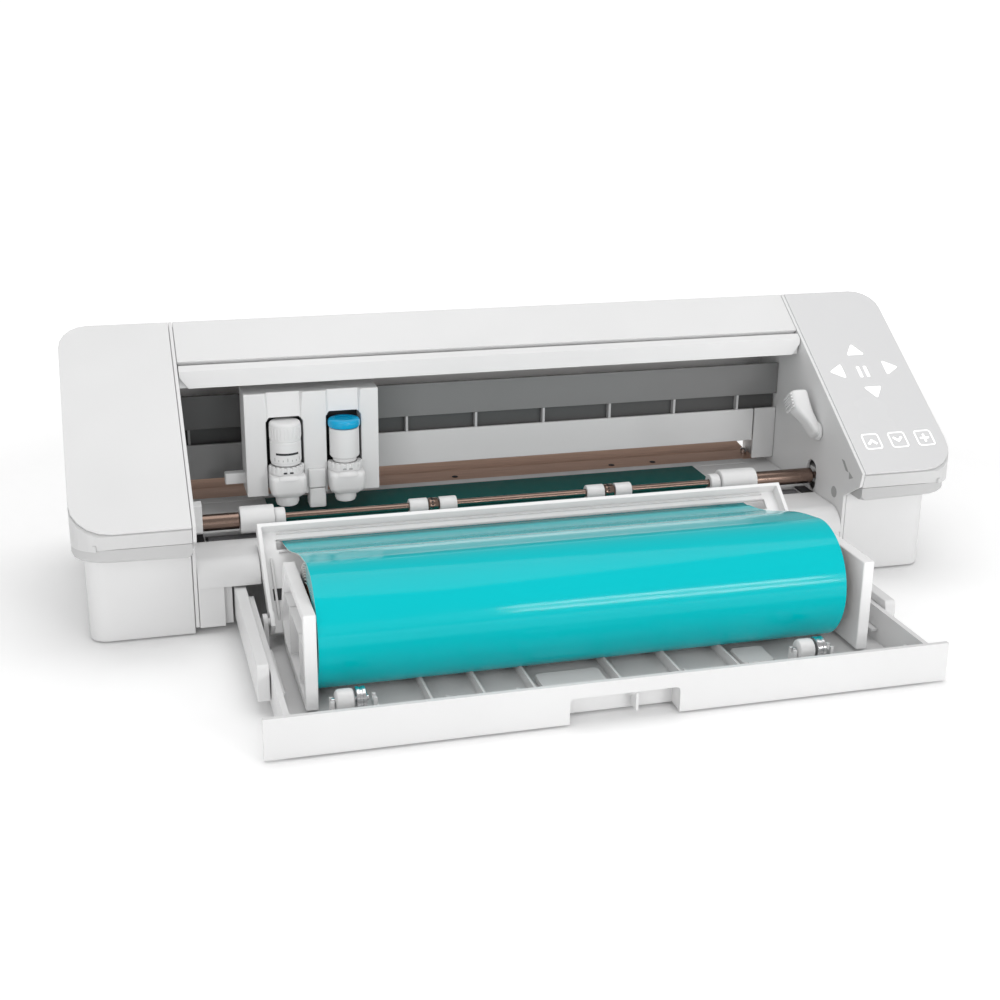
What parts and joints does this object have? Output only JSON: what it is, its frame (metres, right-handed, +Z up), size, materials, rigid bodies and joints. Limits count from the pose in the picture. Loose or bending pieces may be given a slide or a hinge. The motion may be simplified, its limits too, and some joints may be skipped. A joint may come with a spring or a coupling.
{
  "type": "desktop vinyl cutter",
  "caption": "Wide desktop cutting plotter with an open cutting bay, twin tool carriage, pinch rollers and a pull-out feeder holding a roll of vinyl film.",
  "frame": {"origin": "on the ground plane under the middle of the footprint, with the feeder drawer pulled out", "axes": "+X to the machine's right as seen from the front, the front and the feeder drawer face -Y, +Z up"},
  "size_m": [0.57, 0.3416, 0.17],
  "materials": {
    "housing_plastic": "fine satin moulded",
    "inner_plastic": "matte moulded",
    "touch_glass": "smooth satin",
    "tool_plastic": "satin",
    "blue_cap": "glossy",
    "bronze_metal": "polished bronze-coloured",
    "steel": "brushed",
    "grit_roller": "fine grit",
    "gear_plastic": "moulded",
    "rubber": "matte",
    "board": "lacquered",
    "vinyl_film": "glossy film"
  },
  "bodies": {
    "machine": {"apron": "housing_plastic", "base_left": "housing_plastic", "base_right": "housing_plastic", "bay_back_panel": "inner_plastic", "carriage_motor": "steel", "carriage_rod": "steel", "center_chassis": "inner_plastic", "drive_belt": "rubber", "feed_motor": "steel", "foot_back_left": "rubber", "foot_back_right": "rubber", "foot_front_left": "rubber", "foot_front_right": "rubber", "housing_lower_left": "housing_plastic", "housing_lower_right": "housing_plastic", "housing_upper_left": "housing_plastic", "housing_upper_right": "housing_plastic", "main_board": "board", "platen": "inner_plastic", "rear_cover": "housing_plastic", "rear_guide_plate": "bronze_metal", "side_wall_left": "housing_plastic", "side_wall_right": "housing_plastic", "top_panel": "housing_plastic", "top_plate_left": "housing_plastic", "touch_panel": "touch_glass"},
    "carriage": {"carriage_body": "housing_plastic"},
    "tool_left": {"tool_left": "tool_plastic"},
    "tool_right": {"tool_right": "tool_plastic", "tool_right_cap": "blue_cap"},
    "clamp_left": {"tool_clamp_left": "tool_plastic"},
    "clamp_right": {"tool_clamp_right": "tool_plastic"},
    "pinch_arms": {"pinch_arm_left": "inner_plastic", "pinch_arm_right": "inner_plastic"},
    "pinch_shaft": {"pinch_shaft": "bronze_metal", "pinch_roller_left": "tool_plastic", "middle_roller_left": "tool_plastic", "middle_roller_right": "tool_plastic"},
    "pinch_roller_right": {"pinch_roller_right": "tool_plastic"},
    "roller_lever": {"roller_lever": "housing_plastic"},
    "drive": {"drive_roller": "grit_roller", "drive_gear": "gear_plastic"},
    "motor_pinion": {"motor_pinion": "gear_plastic"},
    "motor_pulley": {"motor_pulley": "steel"},
    "idler_pulley": {"idler_pulley": "steel"},
    "cover_leaf_1": {"cover_leaf_1": "housing_plastic"},
    "cover_leaf_2": {"cover_leaf_2": "housing_plastic"},
    "cover_leaf_3": {"cover_leaf_3": "housing_plastic"},
    "cover_front": {"cover_front": "housing_plastic"},
    "drawer": {"drawer": "housing_plastic"},
    "rail_left": {"rail_left": "housing_plastic"},
    "rail_right": {"rail_right": "housing_plastic"},
    "guide_frame": {"guide_frame": "housing_plastic"},
    "side_plate_left": {"side_plate_left": "housing_plastic"},
    "side_plate_right": {"side_plate_right": "housing_plastic"},
    "feed_roller_left": {"feed_roller_left": "steel"},
    "feed_roller_right": {"feed_roller_right": "steel"},
    "media": {"vinyl_web": "vinyl_film"},
    "roll": {"vinyl_roll": "vinyl_film"},
    "power_button": {"power_button": "inner_plastic"}
  },
  "joints": [
    {"name": "carriage_travel", "type": "slide", "parent": "machine", "child": "carriage", "axis": [1, 0, 0], "range_m": [-0.02, 0.28]},
    {"name": "tool_left_plunge", "type": "slide", "parent": "carriage", "child": "tool_left", "axis": [0, 0, 1], "range_m": [-0.005, 0]},
    {"name": "tool_right_plunge", "type": "slide", "parent": "carriage", "child": "tool_right", "axis": [0, 0, 1], "range_m": [-0.005, 0]},
    {"name": "clamp_left_pull", "type": "slide", "parent": "tool_left", "child": "clamp_left", "axis": [0, 1, 0], "range_m": [-0.003, 0]},
    {"name": "clamp_right_pull", "type": "slide", "parent": "tool_right", "child": "clamp_right", "axis": [0, 1, 0], "range_m": [-0.003, 0]},
    {"name": "motor_pulley_turn", "type": "hinge", "parent": "machine", "child": "motor_pulley", "pos_m": [0.198, 0.1336, 0.1065], "axis": [0, 0, 1], "range_deg": [-200, 2700]},
    {"name": "idler_pulley_turn", "type": "hinge", "parent": "machine", "child": "idler_pulley", "pos_m": [-0.198, 0.1336, 0.1065], "axis": [0, 0, 1], "range_deg": [-200, 2700]},
    {"name": "lever_turn", "type": "hinge", "parent": "machine", "child": "roller_lever", "pos_m": [0.209, 0.0411, 0.089], "axis": [1, 0, 0], "range_deg": [-50, 0]},
    {"name": "pinch_lift", "type": "slide", "parent": "machine", "child": "pinch_arms", "axis": [0, 0, 1], "range_m": [0, 0.0051]},
    {"name": "drive_spin", "type": "hinge", "parent": "machine", "child": "drive", "pos_m": [0, 0.0472, 0.0377], "axis": [1, 0, 0], "continuous": true},
    {"name": "pinch_spin", "type": "hinge", "parent": "pinch_arms", "child": "pinch_shaft", "pos_m": [0, 0.0472, 0.0551], "axis": [1, 0, 0], "continuous": true},
    {"name": "roller_position", "type": "slide", "parent": "pinch_shaft", "child": "pinch_roller_right", "axis": [1, 0, 0], "range_m": [-0.045, 0]},
    {"name": "pinion_spin", "type": "hinge", "parent": "machine", "child": "motor_pinion", "pos_m": [0.2264, 0.0694, 0.0377], "axis": [1, 0, 0], "continuous": true},
    {"name": "cover_slide", "type": "slide", "parent": "machine", "child": "cover_front", "axis": [0, -0.833, -0.5533], "range_m": [0, 0.112]},
    {"name": "leaf_1_slide", "type": "slide", "parent": "machine", "child": "cover_leaf_1", "axis": [0, -0.833, -0.5533], "range_m": [0, 0.0281]},
    {"name": "leaf_2_slide", "type": "slide", "parent": "machine", "child": "cover_leaf_2", "axis": [0, -0.833, -0.5533], "range_m": [0, 0.0561]},
    {"name": "leaf_3_slide", "type": "slide", "parent": "machine", "child": "cover_leaf_3", "axis": [0, -0.833, -0.5533], "range_m": [0, 0.0841]},
    {"name": "drawer_slide", "type": "slide", "parent": "machine", "child": "drawer", "axis": [0, 1, 0], "range_m": [0, 0.012], "deforming": ["vinyl_web"]},
    {"name": "rail_left_slide", "type": "slide", "parent": "machine", "child": "rail_left", "axis": [0, 1, 0], "range_m": [0, 0.0085]},
    {"name": "rail_right_slide", "type": "slide", "parent": "machine", "child": "rail_right", "axis": [0, 1, 0], "range_m": [0, 0.0085]},
    {"name": "roll_unload", "type": "slide", "parent": "drawer", "child": "media", "axis": [0, 0, 1], "range_m": [0, 1.1], "deforming": ["vinyl_web"]},
    {"name": "roll_spin", "type": "hinge", "parent": "media", "child": "roll", "pos_m": [0, -0.0908, 0.0392], "axis": [1, 0, 0], "continuous": true},
    {"name": "guide_fold", "type": "hinge", "parent": "drawer", "child": "guide_frame", "pos_m": [0, -0.03644, 0.01989], "axis": [1, 0, 0], "range_deg": [0, 142.1]},
    {"name": "side_plate_left_fold", "type": "hinge", "parent": "drawer", "child": "side_plate_left", "pos_m": [-0.164, -0.0759, 0.0088], "axis": [0, 1, 0], "range_deg": [0, 90.1]},
    {"name": "side_plate_right_fold", "type": "hinge", "parent": "drawer", "child": "side_plate_right", "pos_m": [0.164, -0.0759, 0.0088], "axis": [0, -1, 0], "range_deg": [0, 90.1]},
    {"name": "feed_roller_left_spin", "type": "hinge", "parent": "drawer", "child": "feed_roller_left", "pos_m": [-0.144, -0.1374, 0.0142], "axis": [1, 0, 0], "continuous": true},
    {"name": "feed_roller_right_spin", "type": "hinge", "parent": "drawer", "child": "feed_roller_right", "pos_m": [0.1254, -0.1374, 0.0142], "axis": [1, 0, 0], "continuous": true},
    {"name": "power_press", "type": "slide", "parent": "machine", "child": "power_button", "axis": [-1, 0, 0], "range_m": [0, 0.0015]}
  ],
  "couplings": [
    {"joint": "motor_pulley_turn", "follows": "carriage_travel", "rad_per_m": 166.67},
    {"joint": "idler_pulley_turn", "follows": "carriage_travel", "rad_per_m": 166.67},
    {"joint": "pinch_lift", "follows": "lever_turn", "m_per_rad": -0.00573},
    {"joint": "pinch_spin", "follows": "drive_spin", "ratio": -0.85714},
    {"joint": "pinion_spin", "follows": "drive_spin", "ratio": -3},
    {"joint": "roll_spin", "follows": "drive_spin", "ratio": 0.21246},
    {"joint": "leaf_1_slide", "follows": "cover_slide", "ratio": 0.25},
    {"joint": "leaf_2_slide", "follows": "cover_slide", "ratio": 0.5},
    {"joint": "leaf_3_slide", "follows": "cover_slide", "ratio": 0.75},
    {"joint": "rail_left_slide", "follows": "drawer_slide", "ratio": 0.7},
    {"joint": "rail_right_slide", "follows": "drawer_slide", "ratio": 0.7},
    {"joint": "guide_fold", "follows": "roll_unload", "rad_per_m": 2.2531},
    {"joint": "side_plate_left_fold", "follows": "roll_unload", "rad_per_m": 1.428},
    {"joint": "side_plate_right_fold", "follows": "roll_unload", "rad_per_m": 1.428}
  ]
}
